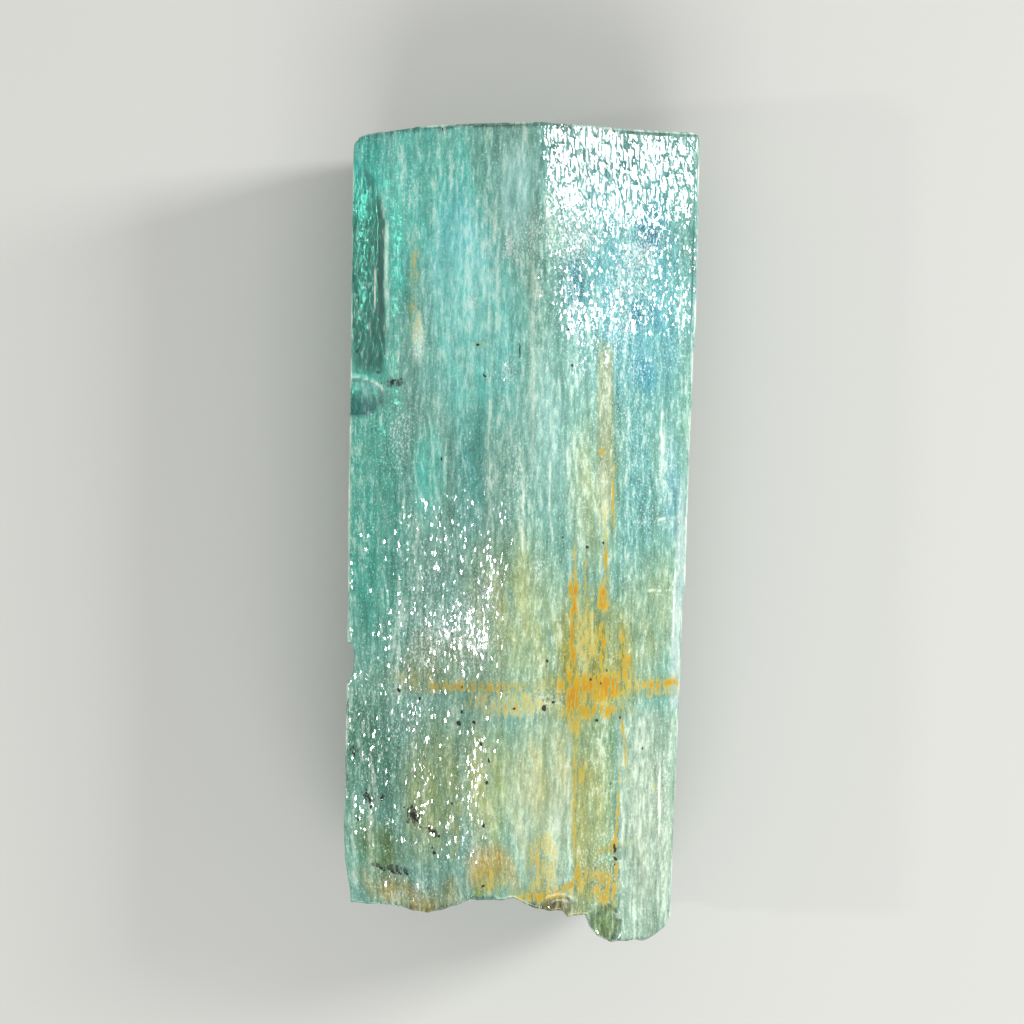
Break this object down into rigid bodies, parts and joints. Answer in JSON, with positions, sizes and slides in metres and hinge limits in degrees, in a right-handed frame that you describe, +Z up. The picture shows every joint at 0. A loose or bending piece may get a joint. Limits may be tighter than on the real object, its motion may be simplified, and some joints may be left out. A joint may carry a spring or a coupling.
{
  "type": "rough aquamarine crystal",
  "caption": "Rough hexagonal aquamarine prism, flat at the grown end and broken at the other, lying on a narrow flat back face.",
  "frame": {"origin": "middle of the crystal's footprint box, on the surface it lies on", "axes": "+Y along the prism towards the flat grown end, +Z up from the flat back face to the upper faces, +X across"},
  "size_m": [0.0176, 0.0399, 0.0133],
  "materials": {
    "beryl": "natural blue-green beryl, cloudy to clear, lengthwise striations and fine etching, iron-oxide stained cracks"
  },
  "bodies": {
    "root": {"crystal": "beryl"}
  },
  "joints": []
}
